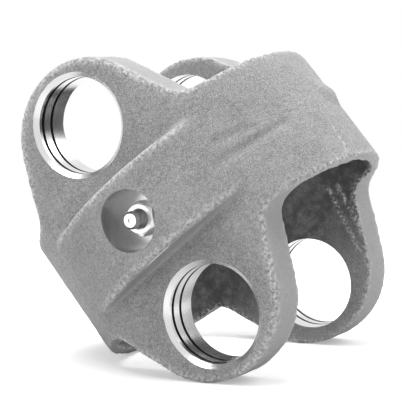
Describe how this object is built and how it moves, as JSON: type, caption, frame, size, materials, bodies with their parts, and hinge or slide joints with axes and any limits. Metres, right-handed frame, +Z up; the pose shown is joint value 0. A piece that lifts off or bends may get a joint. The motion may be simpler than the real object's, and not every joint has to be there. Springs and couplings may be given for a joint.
{
  "type": "forged double yoke",
  "caption": "Forged steel centre housing of a wide-angle driveshaft joint: round drum with a fork of bored ears at each end and a grease nipple sunk in its side.",
  "frame": {"origin": "centre of the drum, midway between the two lines of bearing bores", "axes": "+X along the bearing bores, away from the grease nipple; +Z up as the housing rests, with the shaft line rising 51.4 degrees towards +Y"},
  "size_m": [0.12, 0.1262, 0.1142],
  "materials": {
    "forged_steel": "as forged and shot-blasted, bores machined bright",
    "zinc_plated_steel": "satin zinc plate",
    "bearing_steel": "polished",
    "spring_steel": "drawn wire"
  },
  "bodies": {
    "housing": {"forged_yoke": "forged_steel", "grease_nipple": "zinc_plated_steel", "check_spring": "spring_steel"},
    "check_ball": {"check_ball": "bearing_steel"}
  },
  "joints": [
    {"name": "check_ball_lift", "type": "slide", "parent": "housing", "child": "check_ball", "axis": [1, 0, 0], "range_m": [0, 0.0006], "stiffness_N_per_m": 300, "springref_m": -0.0025, "deforming": ["check_spring"]}
  ]
}
